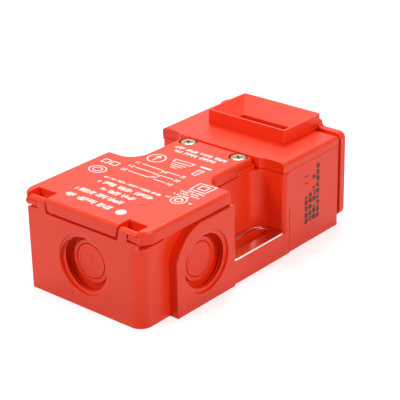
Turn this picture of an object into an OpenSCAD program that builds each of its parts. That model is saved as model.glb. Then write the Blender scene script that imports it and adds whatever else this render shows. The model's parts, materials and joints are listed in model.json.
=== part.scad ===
// Tongue-operated guard interlock switch with a hinged wiring lid and a top or end key entry.
// Millimetres. Inside the modules X runs from the conduit end (0) to the key end, Y across, Z up from
// the mounting face. place() moves the whole switch so that its origin is the middle of the footprint.

/* [Body] */
// Length of the wiring box under the wide part of the lid
box_l = 39.4; // [38:0.1:46]
// Length of the neck, from the wiring box to the head's end wall
neck_l = 25.6; // [25:0.1:32]
// Length of the head casing
head_l = 26.6; // [26.4:0.1:32]
// Width of the head casing
head_w = 51.0; // [49:0.1:60]
// Width of the neck between the box and the head
neck_w = 29.2; // [29:0.1:31]
// Height of the seam under the lid and the head cover
seam_z = 28.3; // [28:0.1:33]
// Thickness of the lid and of the head cover
cover_t = 4.1; // [3.8:0.1:5]
// Wall thickness of the mouldings
wall = 2.4; // [2:0.1:2.6]

/* [Conduit entries] */
// Major diameter of the conduit thread
thread_d = 20.0; // [17:0.5:22]
// Depth of each blind entry
entry_depth = 4.3; // [4:0.1:4.8]
// How far each conduit pad stands proud of the wiring box
pad_t = 3.3; // [3:0.1:4]

/* [Lid] */
// Radius of the lid's hinge pins
pin_r = 1.15; // [1:0.05:1.2]
// Gap between a hinge pin and its socket
pin_gap = 0.05; // [0.03:0.01:0.1]
// Radius of the lid screws' shanks
screw_r = 1.5; // [1.2:0.1:1.8]

/* [Mounting] */
// Height of the mounting flanges beside the neck, without their steel plates
flange_h = 8.1; // [6:0.1:10]
// Width of a mounting slot
slot_w = 5.5; // [4.5:0.1:6.5]
// Flange left between the wiring box and the near end of a mounting slot
slot_inset = 4.2; // [3:0.1:9]

/* [Key entry] */
// Width of the key slots
key_w = 20.0; // [17:0.1:20.5]
// Thickness of the top key slot, along the switch
key_t = 4.8; // [4:0.1:5.4]
// Thickness of the end key slot
end_key_t = 4.6; // [4:0.1:5.4]
// Height of the entry funnel above the head cover
funnel_h = 4.8; // [4:0.1:6]
// Thickness of the guide's end plate
guide_t = 2.6; // [2:0.1:3.2]

/* [Cam and plunger] */
// Radius of the cam spindle
spindle_r = 2.0; // [1.7:0.05:2.3]
// Radial clearance of the cam on its spindle and of the plunger in its guide
fit_gap = 0.05; // [0.03:0.01:0.1]
// Turn of the cam when a key goes fully in, in degrees
cam_turn = 40; // [34:1:46]
// Travel of the plunger for that turn
plunger_travel = 2.4; // [2:0.1:2.5]

/* [Contacts] */
// Width of one switching pole's pocket
pocket_w = 5.6; // [5.5:0.1:5.6]
// Wall between two poles
pole_wall = 1.4; // [1.2:0.1:1.6]

/* [Hidden] */
$fn = 96;
eps = 0.01;
skim = 0.02;                      // what is skimmed off a soft plate's top
floor_z = wall + 0.1;
gap = 0.2;                        // loose clearance of what stands inside the mouldings
top_z = seam_z + cover_t;

// places along the switch
strip_t = 3.0;                    // the housing's proud end wall
strip_x = box_l + neck_l;
head_x = strip_x + strip_t;
head_end = head_x + head_l;
guide_gap = 0.9;                  // gap between the head and the guide's end plate
guide_x = head_end + guide_gap;
overall_l = guide_x + guide_t;
neck_end = strip_x - 1.8;         // inner face of the end wall
lid_end = strip_x - 1.6;
lid_back = box_l - 0.2;           // back edge of the lid's wide part
head_in_x0 = head_x + 2.0;
head_in_x1 = head_end - 2.2;

// widths
flange_hw = head_w / 2 + 0.4;
lid_w = head_w + 0.4;
box_w = lid_w - 5.0;
pad_hw = box_w / 2 + pad_t;
neck_in = neck_w / 2 - 2.2;       // half width inside the neck
head_in_hw = head_w / 2 - 2.9;
fillet_r = 5.0;                   // moulded corner between the neck and the head

// conduit entries
pad_half = 13.5;
side_entry_x = box_l - pad_half;
side_entry_z = seam_z / 2 - 0.25;
front_entry_z = seam_z / 2 + 0.65;
knockout_r = thread_d / 2 - 3.0;  // knock-out disc at the bottom of a conduit entry
groove_t = 1.0;                   // depth of the groove round it
entry_boss = 2.3;                 // wall left behind an entry, with the groove

// hinge
pin_x = 1.25;
pin_z = seam_z + 1.1;
ear_l = 2.7;
ear_w = 6.9;
ear_y1 = lid_w / 2 - 3.5;
ear_y0 = ear_y1 - ear_w;
window_l = 5.2;                   // how far a window in the lid reaches in from the front
rim_drop = 0.9;                   // the box rim is lower at the hinge, so that the lid can swing
ledge_l = 5.0;                    // shelf behind the hinge that the lid's seal lies on
end_l = wall + ledge_l;           // the conduit end's share of the box
head_corner_r = 1.4;              // upright corners at the key's end
box_corner_r = 4.2;               // upright corner at the conduit end, right side
far_corner_r = 0.8;               // the same on the left side, which the photo shows sharper

// lid screws, and the cover's tongue that they clamp
lid_screw_x = lid_end - 2.6;
boss_r = 4.2;
lid_screw_y = neck_w / 2 - boss_r + 0.1;
insert_r = boss_r - 1.3;
insert_l = 9.0;
screw_len = 7.4;
lid_step_x = lid_end - 8.0;       // where the lid's underside steps up over the tongue
tongue_t = 1.7;
lid_plate = 2.2;                  // the lid's thickness over the wiring room
seal_w = 1.4;

// mounting slots
slot_share = 0.407;               // where a slot's middle lies, from the neck to the flange's edge
slot_y = neck_w / 2 + slot_share * (flange_hw - neck_w / 2);
slot_end = strip_x - 1.4;
slot_l = slot_end - box_l - slot_inset;
plate_t = 0.7;

// head screws
post_x = [head_x + 6.0, head_end - 5.2];
post_r = 3.6;
post_y = head_in_hw - post_r + 0.2;
head_sink = 2.6;                  // depth of the holes that sink the head screws' heads
blind = 1.3;                      // cover left above the ends of the head screws

// cam, key slots and plunger
cam_x = head_x + 11.0;
cam_z = (floor_z + seam_z) / 2 + 0.8;
cam_r = min(seam_z - cam_z - 1.5, head_in_x1 - cam_x - 1.0);  // full radius, on the key's side
cam_hi = 7.6;                     // radius that holds the plunger back with no key in
cam_rate = plunger_travel / cam_turn;
cam_w = 15.0;
key_x1 = head_end - 5.6;          // far edge of the top key slot
key_x0 = key_x1 - key_t;
key_gap = 0.3;                    // the head's own openings are this much wider than the guide's slots
end_key_z = cam_z + 8.1;
funnel_x0 = key_x0 - 6.7;
funnel_x1 = overall_l - 0.8;
funnel_w = key_w + 12.4;
funnel_z = top_z + funnel_h;
rim_t = 0.8;
rib_y0 = key_w / 2 + 1.2;         // ribs that carry the spindle
rib_t = 2.6;
rib_l = 11.0;
hub_r = spindle_r + 1.6;
peg_r = 1.8;
peg_l = 1.4;
peg_y = key_w / 2 + 7.0;
peg_z = 8.0;
plunger_r = 2.0;
nose_r = 0.5;
nose_gap = 0.4;
plunger_tip = cam_x - cam_hi - nose_gap;

// contact block: the pockets, the channel that the carrier slides in, and what stands in them
poles = 3;
pole_pitch = pocket_w + pole_wall;
block_x1 = lid_screw_x - boss_r - gap;
pocket_x0 = block_x1 - 0.8 - poles * pocket_w - (poles - 1) * pole_wall;
block_x0 = pocket_x0 - 4.0;
block_hw = neck_in - gap;
block_z = cam_z + 4.8;
lug_x = block_x0 - 3.2;
lug_y = block_hw - 4.2;
lug_r = 3.0;
lug_z = floor_z + 1.0;
lug_t = 2.2;
block_screw_r = 1.1;
channel_x0 = block_x0 + 1.2;
channel_hw = 4.2;
channel_z = cam_z - 6.8;
pocket_hw = block_hw - 1.0;
deck_t = 1.2;
carrier_x0 = channel_x0 + 2.0;
carrier_x1 = block_x1 - plunger_travel - gap;
carrier_hw = channel_hw - gap;
carrier_z = [channel_z + 0.1, cam_z + 3.3];
bridge_z = [cam_z - 5.0, cam_z - 2.4];
bridge_t = 1.2;
bridge_hw = pocket_hw - 1.6;
bridge_gap = 0.1;
spring_r = 1.5;
spring_wire = 0.25;
spring_bore = spring_r + spring_wire + gap;
spring_depth = 6.5;
spring_turns = 7;
contact_t = 1.1;
contact_y = [pocket_hw - 5.6, pocket_hw - 0.6];
terminal_y = pocket_hw - 2.6;
terminal_r = 1.1;
clamp_t = 0.9;

plastic = "#e5452f";
inner = "#2b2c2e";
steel = "#b9bcbf";
brass = "#b08d4f";
rubber = "#1d1d1e";

// Helpers

// Puts the middle of the footprint at the origin.
module place() {
    translate([-overall_l / 2, 0, 0]) children();
}

// A box from one corner to the opposite one.
module block(a, b) {
    translate(a) cube(b - a);
}

// What a convex corner of radius r takes off, for the corner at p that opens along sx and sy.
module corner_cut(p, sx, sy, r) {
    translate(p) scale([sx, sy]) difference() {
        translate([-1, -1]) square(r + 1);
        translate([r, r]) circle(r);
    }
}

// A rectangle with its own radius at each corner: [x0y0, x1y0, x1y1, x0y1].
module plan(x0, x1, y0, y1, r) {
    difference() {
        translate([x0, y0]) square([x1 - x0, y1 - y0]);
        if (r[0] > 0) corner_cut([x0, y0], 1, 1, r[0]);
        if (r[1] > 0) corner_cut([x1, y0], -1, 1, r[1]);
        if (r[2] > 0) corner_cut([x1, y1], -1, -1, r[2]);
        if (r[3] > 0) corner_cut([x0, y1], 1, -1, r[3]);
    }
}

// An upright prism on a rounded rectangle that is centred across the switch.
module slab(x0, x1, hw, z0, z1, r0 = 0, r1 = 0) {
    translate([0, 0, z0]) linear_extrude(z1 - z0) plan(x0, x1, -hw, hw, [r0, r1, r1, r0]);
}

// A cylinder along +X, +Y or +Z that starts at p.
module rod_x(p, r, l) {
    translate(p) rotate([0, 90, 0]) cylinder(r = r, h = l);
}

module rod_y(p, r, l) {
    translate(p) rotate([-90, 0, 0]) cylinder(r = r, h = l);
}

module rod_z(p, r, l) {
    translate(p) cylinder(r = r, h = l);
}

// A profile drawn in X and Z, given thickness across the switch from y0 to y1.
module across(y0, y1) {
    translate([0, y1, 0]) rotate([90, 0, 0]) linear_extrude(y1 - y0) children();
}

// The same on both sides of the centre line.
module both_sides() {
    children();
    mirror([0, 1, 0]) children();
}

function unit(v) = v / norm(v);

// Rounds one corner of an outline: [centre, radius, turn sign, start angle, end angle].
function corner_arc(a, p, b, r) =
    let (u = unit(a - p),
         v = unit(b - p),
         turn = sign(u[1] * v[0] - u[0] * v[1]),
         half = acos(u * v) / 2,
         c = p + unit(u + v) * r / sin(half),
         s = p + u * r / tan(half) - c,
         e = p + v * r / tan(half) - c,
         a0 = atan2(s[1], s[0]),
         a1 = atan2(e[1], e[0]),
         sweep = turn > 0 ? (a1 - a0 + 360) % 360 : -((a0 - a1 + 360) % 360))
    [c, r, turn, a0, sweep];

// The rounded outline of corners [x, y, radius], drawn in by d on every side.
function outline(corners, d, steps) = [
    for (i = [0:len(corners) - 1])
        let (n = len(corners),
             a = corners[(i + n - 1) % n],
             p = corners[i],
             b = corners[(i + 1) % n],
             arc = corner_arc([a[0], a[1]], [p[0], p[1]], [b[0], b[1]], p[2]))
        for (k = [0:steps])
            let (t = arc[3] + arc[4] * k / steps)
            arc[0] + (arc[1] - arc[2] * d) * [cos(t), sin(t)]
];

// A plate with that outline whose top edge is rounded by edge, skimmed flat below and above.
module soft_plate(corners, z0, z1, edge, steps = 6, rings = 4) {
    difference() {
        soft_body(corners, z0 - 1, z1 + skim, edge, steps, rings);
        for (z = [z0 - 2, z1])
            translate([-overall_l, -overall_l, z]) cube([3 * overall_l, 2 * overall_l, 2]);
    }
}

module soft_body(corners, z0, z1, edge, steps, rings) {
    levels = concat([[0, z0]], [for (k = [0:rings])
        let (t = 90 * k / rings) [edge * (1 - cos(t)), z1 - edge + edge * sin(t)]]);
    n = len(corners) * (steps + 1);
    m = len(levels);
    points = [for (l = levels) for (p = outline(corners, l[0], steps)) [p[0], p[1], l[1]]];
    sides = [for (j = [0:m - 2]) for (i = [0:n - 1])
        [j * n + i, (j + 1) * n + i, (j + 1) * n + (i + 1) % n, j * n + (i + 1) % n]];
    polyhedron(points, concat([[for (i = [0:n - 1]) i]], sides,
        [[for (i = [n - 1:-1:0]) (m - 1) * n + i]]), convexity = 6);
}

// A hopper that narrows from the rectangle [x0, x1, half width] at z1 down to another at z0.
module hopper(low, z0, high, z1) {
    ring = function (r, z) [[r[0], -r[2], z], [r[1], -r[2], z], [r[1], r[2], z], [r[0], r[2], z]];
    polyhedron(concat(ring(low, z0), ring(high, z1)), [
        [0, 1, 2, 3],
        [7, 6, 5, 4],
        [0, 4, 5, 1],
        [1, 5, 6, 2],
        [2, 6, 7, 3],
        [3, 7, 4, 0]
    ]);
}

// A round wire wound along +X.
module coil(r, wire, l, turns) {
    steps = turns * 20;
    sides = 8;
    lead = l - 2 * wire;
    points = [for (i = [0:steps]) for (j = [0:sides - 1])
        let (t = 360 * turns * i / steps,
             a = 360 * j / sides,
             q = r + wire * cos(a))
        [wire + lead * i / steps + wire * sin(a), q * cos(t), q * sin(t)]];
    walls = [for (i = [0:steps - 1]) for (j = [0:sides - 1])
        let (n = i * sides + j, m = i * sides + (j + 1) % sides)
        [n, m, m + sides, n + sides]];
    polyhedron(points, concat([[for (j = [sides - 1:-1:0]) j]], walls,
        [[for (j = [0:sides - 1]) steps * sides + j]]), convexity = 10);
}

// A pan head screw that points down, with a cross recess; z is the underside of its head.
module pan_screw(p, head_r, head_h, shank_r, shank_l) {
    difference() {
        union() {
            translate([p[0], p[1], p[2] - shank_l]) cylinder(r = shank_r, h = shank_l + eps);
            translate(p) rotate_extrude() difference() {
                square([head_r, head_h]);
                corner_cut([head_r, head_h], -1, -1, head_h * 0.6);
            }
        }
        for (a = [45, 135])
            translate([p[0], p[1], p[2] + head_h]) rotate([0, 0, a])
                cube([head_r * 1.15, head_r * 0.26, head_h * 1.2], center = true);
    }
}

// Outlines shared by several sub-parts

// The lid from above.
lid_corners = [
    [0, -lid_w / 2, 4.5],
    [lid_back, -lid_w / 2, 1.4],
    [lid_back, -neck_w / 2, 6],
    [lid_end, -neck_w / 2, 1.4],
    [lid_end, neck_w / 2, 1.4],
    [lid_back, neck_w / 2, 6],
    [lid_back, lid_w / 2, 1.4],
    [0, lid_w / 2, 4.5]
];

// The head cover from above, with a stub that meets the end of the lid.
stub_x = lid_end + 0.5;
stub_run = fillet_r + stub_x - strip_x;
stub_hw = neck_w / 2 + fillet_r - sqrt(fillet_r * fillet_r - stub_run * stub_run);
cover_corners = [
    [stub_x, -stub_hw, 1.3],
    [strip_x + 0.4, -neck_w / 2 - fillet_r, 1.5],
    [strip_x, -head_w / 2, 1.6],
    [head_end, -head_w / 2, head_corner_r],
    [head_end, head_w / 2, head_corner_r],
    [strip_x, head_w / 2, 1.6],
    [strip_x + 0.4, neck_w / 2 + fillet_r, 1.5],
    [stub_x, stub_hw, 1.3]
];

// Housing

// The side of a conduit pad: round above on the hinge's side, and square up to the lid behind.
module pad_profile() {
    pad_r = pad_half + 0.7;
    intersection() {
        translate([side_entry_x - pad_half, 0]) square([2 * pad_half, seam_z]);
        union() {
            translate([side_entry_x, side_entry_z]) circle(pad_r);
            translate([side_entry_x - pad_r, 0]) square([2 * pad_r, side_entry_z]);
            translate([side_entry_x, 0]) square([pad_half, seam_z]);
        }
    }
}

// What a blind conduit entry takes out, along +Z from its mouth: the threaded wall down to the face of
// the knock-out, and a groove round that with a bevelled foot, so that the knock-out breaks out clean.
module entry_cut() {
    face = entry_depth - groove_t;
    rotate_extrude() {
        translate([0, -1]) square([thread_d / 2, face + 1]);
        polygon([
            [knockout_r, face - eps],
            [thread_d / 2 - 0.8, face - eps],
            [thread_d / 2 - 0.8, entry_depth],
            [knockout_r + 0.5, entry_depth]
        ]);
        polygon([
            [knockout_r - 1.6, face - eps],
            [knockout_r - 1.1, face - eps],
            [knockout_r - 1.35, face + 0.5]
        ]);
    }
}

module front_entry() {
    translate([0, 0, front_entry_z]) rotate([0, 90, 0]) entry_cut();
}

module side_entry() {
    translate([side_entry_x, pad_hw, side_entry_z]) rotate([90, 0, 0]) entry_cut();
}

// A mounting slot through a flange.
module slot_cut(z0, z1) {
    for (x = [slot_end - slot_l + slot_w / 2, slot_end - slot_w / 2])
        rod_z([x, slot_y, z0], slot_w / 2, z1 - z0);
    block([slot_end - slot_l + slot_w / 2, slot_y - slot_w / 2, z0],
          [slot_end - slot_w / 2, slot_y + slot_w / 2, z1]);
}

// The moulded corners between the neck and the head, from z0 to z1.
module neck_fillet(z0, z1) {
    translate([0, 0, z0]) linear_extrude(z1 - z0) difference() {
        translate([strip_x - fillet_r, neck_w / 2 - 1]) square(fillet_r + 1);
        translate([strip_x - fillet_r, neck_w / 2 + fillet_r]) circle(fillet_r);
        translate([strip_x - fillet_r - 1, neck_w / 2]) square([1, fillet_r + 1]);
        translate([strip_x - fillet_r, neck_w / 2 + fillet_r]) square([fillet_r, 1]);
    }
}

module neck_shell() {
    slab(box_l, strip_x + 1, neck_w / 2, 0, seam_z);
    both_sides() neck_fillet(0, seam_z);
    slab(strip_x, head_x, flange_hw, 0, seam_z, 1.5, 0);
    slab(box_l, strip_x + 2, flange_hw, 0, flange_h);
}

// The wiring room, open at the top, and the neck's inside, with what stays standing in them.
module housing_room() {
    difference() {
        union() {
            slab(wall, box_l - wall, box_w / 2 - wall, floor_z, seam_z + 1, 3, 1);
            slab(box_l - wall - 1, neck_end, neck_in, floor_z, seam_z + 1, 0, 1);
        }
        rod_x([wall - 1, 0, front_entry_z], thread_d / 2 + 1.6, entry_depth + entry_boss - wall);
        block([wall - 1, -box_w, seam_z - 2.8], [wall + ledge_l, box_w, seam_z + 2]);
        both_sides() rod_z([lid_screw_x, lid_screw_y, 0], boss_r, seam_z + 2);
        both_sides() block([lid_screw_x - boss_r, lid_screw_y, 0],
                           [lid_screw_x + boss_r, neck_in + 1, seam_z + 2]);
        both_sides() rod_z([lug_x, lug_y, 0], lug_r, lug_z);
    }
}

// A hinge ear, with its open socket for a lid pin.
module hinge_ear() {
    difference() {
        across(ear_y0 - 1.4, ear_y1) plan(0, ear_l, seam_z - 3, seam_z + 3.3, [0, 0, 1.25, 1.25]);
        translate([-1, 0, 0]) rotate([90, 0, 90]) linear_extrude(ear_l + 2) polygon([
            [ear_y0 - 3, seam_z - 4],
            [ear_y0 - 0.7, seam_z - 4],
            [ear_y0 - 0.5, seam_z],
            [ear_y0 + 0.2, seam_z + 4],
            [ear_y0 - 3, seam_z + 4]
        ]);
        rod_y([pin_x, ear_y1 - 3.5, pin_z], pin_r + pin_gap, 5);
        block([-1, ear_y1 - 3.5, pin_z - pin_r * 0.86], [pin_x, ear_y1 + 1, pin_z + pin_r * 0.86]);
    }
}

// The housing is one moulding, in sub-parts that meet face to face: the box, its conduit end with the
// hinge ears, a conduit pad on each side, and the neck with the mounting flanges.
module box_mould() {
    difference() {
        union() {
            difference() {
                linear_extrude(seam_z)
                    plan(0, box_l, -box_w / 2, box_w / 2, [box_corner_r, 0, 0, far_corner_r]);
                housing_room();
                // the rim under the lid's front edge, and beside the ears, where the lid's tabs swing
                block([-1, -box_w, seam_z - rim_drop], [wall + 0.6, box_w, seam_z + 1]);
            }
            both_sides() hinge_ear();
        }
        front_entry();
        both_sides() side_entry();
        both_sides() rod_z([lug_x, lug_y, lug_z - 2.3], block_screw_r, 4);
    }
}

module housing() {
    color(plastic) place() intersection() {
        box_mould();
        block([end_l, -box_w, -1], [box_l + 1, box_w, seam_z + 1]);
    }
}

module conduit_end() {
    color(plastic) place() intersection() {
        box_mould();
        block([-1, -box_w, -1], [end_l, box_w, seam_z + 5]);
    }
}

module conduit_pad(side) {
    color(plastic) place() scale([1, side, 1]) difference() {
        across(box_w / 2, pad_hw) pad_profile();
        side_entry();
    }
}

module conduit_pad_left() {
    conduit_pad(1);
}

module conduit_pad_right() {
    conduit_pad(-1);
}

module neck() {
    color(plastic) place() difference() {
        neck_shell();
        housing_room();
        both_sides() slot_cut(-1, flange_h + 1);
        both_sides() rod_z([lid_screw_x, lid_screw_y, seam_z - insert_l - 1], insert_r, insert_l + 2);
        both_sides() rod_z([lug_x, lug_y, lug_z - 2.3], block_screw_r, 4);
        rod_x([neck_end - 1, 0, cam_z], plunger_r + fit_gap, head_x - neck_end + 2);
    }
}

// Head

// What a head screw takes out of the casing: its shank and its sunk head.
module head_screw_cut(p) {
    rod_z([p[0], p[1], -1], screw_r + 0.1, seam_z + 2);
    rod_z([p[0], p[1], -1], post_r - 0.5, head_sink + 1);
}

module head_casing() {
    color(plastic) place() difference() {
        slab(head_x, head_end, head_w / 2, 0, seam_z, 0, head_corner_r);
        difference() {
            slab(head_in_x0, head_in_x1, head_in_hw, floor_z, seam_z + 1, 1, 2);
            for (x = post_x)
                both_sides() {
                    rod_z([x, post_y, 0], post_r, seam_z + 2);
                    block([x - post_r, post_y, 0], [x + post_r, head_in_hw + 1, seam_z + 2]);
                }
            both_sides() across(rib_y0, rib_y0 + rib_t)
                plan(cam_x - rib_l / 2, cam_x + rib_l / 2, 0, cam_z + 5, [0, 0, 4, 4]);
        }
        for (x = post_x) both_sides() head_screw_cut([x, post_y]);
        rod_y([cam_x, -rib_y0 - rib_t - 0.2, cam_z], spindle_r, 2 * (rib_y0 + rib_t + 0.2));
        rod_x([head_x - 1, 0, cam_z], plunger_r + fit_gap, 4);
        // the key's way in through the end wall, and the holes for the guide's two pegs
        block([head_in_x1 - 1, -key_w / 2 - key_gap, end_key_z - end_key_t / 2 - key_gap],
              [head_end + 1, key_w / 2 + key_gap, end_key_z + end_key_t / 2 + key_gap]);
        both_sides() rod_x([head_end - peg_l, peg_y, peg_z], peg_r, 2);
    }
}

module head_cover() {
    color(plastic) place() difference() {
        union() {
            soft_body(cover_corners, seam_z - 1, top_z + skim, 1.1, 6, 4);
            slab(lid_step_x + gap, stub_x + 1.5, neck_w / 2, seam_z - 1, seam_z + tongue_t, 1, 0);
        }
        // one flat underside, on the housing and the head casing, and one flat top
        block([lid_step_x, -head_w, seam_z - 2], [head_end + 1, head_w, seam_z]);
        block([lid_step_x, -head_w, top_z], [head_end + 1, head_w, top_z + 2]);
        both_sides() rod_z([lid_screw_x, lid_screw_y, seam_z - 1], screw_r + 0.7, tongue_t + 2);
        for (x = post_x) both_sides() rod_z([x, post_y, seam_z - 1], screw_r, 1 + cover_t - blind);
        block([key_x0 - key_gap, -key_w / 2 - key_gap, seam_z - 1],
              [key_x1 + key_gap, key_w / 2 + key_gap, top_z + 1]);
    }
}

// The guide's end plate, seen along the switch, with its raised middle behind the funnel.
module guide_profile() {
    hw = head_w / 2 + 0.4;
    rise = funnel_z - 2.2;
    mid = funnel_w / 2 + 0.3;
    shoulder = top_z + 0.5;
    difference() {
        union() {
            plan(-hw, hw, 3, shoulder, [2.3, 2.3, 2.3, 2.3]);
            plan(-mid, mid, shoulder - 1, rise, [0, 0, 0.8, 0.8]);
            for (s = [-1, 1]) scale([s, 1]) difference() {
                translate([mid - eps, shoulder - 1]) square([1.4, 2.4]);
                translate([mid + 1.4, shoulder + 1.4]) circle(1.4);
            }
        }
    }
}

module entry_guide() {
    color(plastic) place() difference() {
        union() {
            slab(funnel_x0, funnel_x1, funnel_w / 2, top_z, funnel_z, rim_t, rim_t);
            translate([guide_x, 0, 0]) rotate([90, 0, 90]) linear_extrude(guide_t) guide_profile();
            // the collar round the end slot and two pegs, which stand on the end of the head
            block([head_end, -key_w / 2 - 1.6, end_key_z - end_key_t / 2 - 1.6],
                  [guide_x + 1, key_w / 2 + 1.6, end_key_z + end_key_t / 2 + 1.6]);
            both_sides() rod_x([head_end - peg_l, peg_y, peg_z], peg_r, peg_l + guide_gap + 1);
        }
        hopper([key_x0, key_x1, key_w / 2], top_z + 0.8,
               [funnel_x0 + rim_t, funnel_x1 - rim_t, funnel_w / 2 - rim_t], funnel_z);
        block([funnel_x0 + rim_t, rim_t - funnel_w / 2, funnel_z - eps],
              [funnel_x1 - rim_t, funnel_w / 2 - rim_t, funnel_z + 1]);
        block([key_x0, -key_w / 2, top_z - 1], [key_x1, key_w / 2, top_z + 1]);
        block([head_end - 1, -key_w / 2, end_key_z - end_key_t / 2],
              [overall_l + 1, key_w / 2, end_key_z + end_key_t / 2]);
        translate([overall_l + eps, 0, end_key_z]) rotate([0, -90, 0]) hopper(
            [-end_key_t / 2 - 1.4, end_key_t / 2 + 1.4, key_w / 2 + 1.4], 0,
            [-end_key_t / 2, end_key_t / 2, key_w / 2], 1.4);
    }
}

// The cam turns this way as the key goes in: its spiral side lets the plunger out by cam_rate a degree.
module cam_outline() {
    spiral_end = 180 + cam_turn + 14;
    spiral = [for (a = [180:2:spiral_end]) (cam_hi - cam_rate * (a - 180)) * [cos(a), sin(a)]];
    difference() {
        union() {
            polygon(concat([[0, 0]], [for (a = [138:2:178]) cam_hi * [cos(a), sin(a)]], spiral));
            intersection() {
                circle(cam_r);
                polygon([[0, 0], 20 * [-0.17, -1], [20, -20], [20, 20], 20 * [-0.62, 0.79]]);
            }
            circle(hub_r);
        }
        // the notch that the key's cross bar turns the cam by
        rotate(45) translate([cam_r - 4.2, -2.6]) square([6, 5.2]);
        rotate(45) translate([cam_r - 4.2, 0]) circle(1.2);
    }
}

module cam() {
    color(inner) place() translate([cam_x, 0, cam_z]) difference() {
        union() {
            rotate([90, 0, 0]) linear_extrude(cam_w, center = true) cam_outline();
            rod_y([0, 0.1 - rib_y0, 0], hub_r, 2 * (rib_y0 - 0.1));
        }
        rod_y([0, -rib_y0, 0], spindle_r + fit_gap, 2 * rib_y0);
    }
}

module cam_spindle() {
    color(steel) place() rod_y([cam_x, -rib_y0 - rib_t, cam_z], spindle_r, 2 * (rib_y0 + rib_t));
}

module plunger() {
    l = plunger_tip - carrier_x1;
    cone = plunger_r - nose_r;
    color(steel) place() translate([carrier_x1, 0, cam_z]) rotate([0, 90, 0]) rotate_extrude() union() {
        polygon([
            [0, 0],
            [plunger_r, 0],
            [plunger_r, l - nose_r - cone],
            [nose_r, l - nose_r],
            [0, l - nose_r]
        ]);
        intersection() {
            translate([0, l - nose_r]) circle(nose_r);
            translate([0, l - nose_r]) square(nose_r);
        }
    }
}

// Lid

module lid() {
    color(plastic) place() {
        difference() {
            soft_plate(lid_corners, seam_z, top_z, 1.2);
            slab(wall + 3.4, lid_back - wall, box_w / 2 - wall, seam_z - 1, top_z - lid_plate, 2, 1);
            slab(lid_back - wall - 2, lid_step_x - 1.4, neck_in, seam_z - 1, top_z - lid_plate, 0, 1);
            block([lid_step_x, -neck_w, seam_z - 1], [lid_end + 1, neck_w, seam_z + tongue_t]);
            // windows for the hinge ears, which lean out towards the top
            both_sides() translate([-1, 0, 0]) rotate([90, 0, 90]) linear_extrude(1 + window_l) polygon([
                [ear_y0 - 1.5, seam_z - 1],
                [ear_y1 + 0.3, seam_z - 1],
                [ear_y1 + 0.3, top_z + 1],
                [ear_y0 - 0.1, top_z + 1],
                [ear_y0 - 1.3, seam_z]
            ]);
            both_sides() rod_z([lid_screw_x, lid_screw_y, top_z - 1.5], 3.2, 3);
            both_sides() rod_z([lid_screw_x, lid_screw_y, seam_z], screw_r, 5);
        }
        both_sides() rod_y([pin_x, ear_y1 - 3.3, pin_z], pin_r, 4.6);
    }
}

// A flat ring of rubber that lies in the lid and seals on the rim of the housing.
module seal_outline(d) {
    plan(wall + 3.4 + d, lid_back - wall - d, -box_w / 2 + wall + d, box_w / 2 - wall - d, [2, 1, 1, 2]);
    plan(lid_back - wall - 4, lid_step_x - 1.4 - d, -neck_in + d, neck_in - d, [0, 1, 1, 0]);
}

module lid_seal() {
    color(rubber) place() translate([0, 0, seam_z]) linear_extrude(cover_t - lid_plate) difference() {
        seal_outline(0);
        seal_outline(seal_w);
    }
}

module lid_screw(side) {
    color(steel) place()
        pan_screw([lid_screw_x, side * lid_screw_y, top_z - 1.5], 2.8, 1.4, screw_r, screw_len);
}

module lid_screw_left() {
    lid_screw(1);
}

module lid_screw_right() {
    lid_screw(-1);
}

module thread_insert(side) {
    color(brass) place() difference() {
        rod_z([lid_screw_x, side * lid_screw_y, seam_z - insert_l], insert_r, insert_l);
        rod_z([lid_screw_x, side * lid_screw_y, seam_z - insert_l - 1], screw_r + 0.4, insert_l + 2);
    }
}

module thread_insert_left() {
    thread_insert(1);
}

module thread_insert_right() {
    thread_insert(-1);
}

// Mounting

module slot_plate(side) {
    color(steel) place() scale([1, side, 1]) difference() {
        translate([0, 0, flange_h]) linear_extrude(plate_t)
            plan(box_l + 0.6, strip_x - 0.6, neck_w / 2 + 0.6, flange_hw, [0.6, fillet_r, 0.6, 0.6]);
        slot_cut(flange_h - 1, flange_h + 2);
    }
}

module slot_plate_left() {
    slot_plate(1);
}

module slot_plate_right() {
    slot_plate(-1);
}

// Contacts

// The near end of pole i's pocket, counted from 0.
function pole_x(i) = pocket_x0 + i * pole_pitch;

// The last pole opens as the key goes in, and the others close.
function opens(i) = i == poles - 1;

// The face of a fixed contact nearest the conduit end.
function contact_x(i) = opens(i) ? pole_x(i) : pole_x(i) + pocket_w - contact_t;

// The same face of a moving bridge, with no key in.
function bridge_x(i) = opens(i) ? pole_x(i) + contact_t + bridge_gap
                                : contact_x(i) - bridge_gap - plunger_travel - bridge_t;

module contact_block() {
    color(inner) place() difference() {
        union() {
            block([block_x0, -block_hw, floor_z], [block_x1, block_hw, block_z]);
            both_sides() rod_z([lug_x, lug_y, lug_z], lug_r, lug_t);
            both_sides() block([lug_x, lug_y - lug_r, lug_z], [block_x0 + 1, lug_y + lug_r, lug_z + lug_t]);
        }
        block([channel_x0, -channel_hw, channel_z], [block_x1 + 1, channel_hw, block_z + 1]);
        for (i = [0:poles - 1])
            block([pole_x(i), -pocket_hw, channel_z], [pole_x(i) + pocket_w, pocket_hw, block_z + 1]);
        both_sides() rod_z([lug_x, lug_y, 0], block_screw_r + gap, lug_z + lug_t + 3);
    }
}

module block_screw(side) {
    color(steel) place() pan_screw([lug_x, side * lug_y, lug_z + lug_t], 2.3, 1.5, block_screw_r, 4.5);
}

module block_screw_left() {
    block_screw(1);
}

module block_screw_right() {
    block_screw(-1);
}

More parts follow.
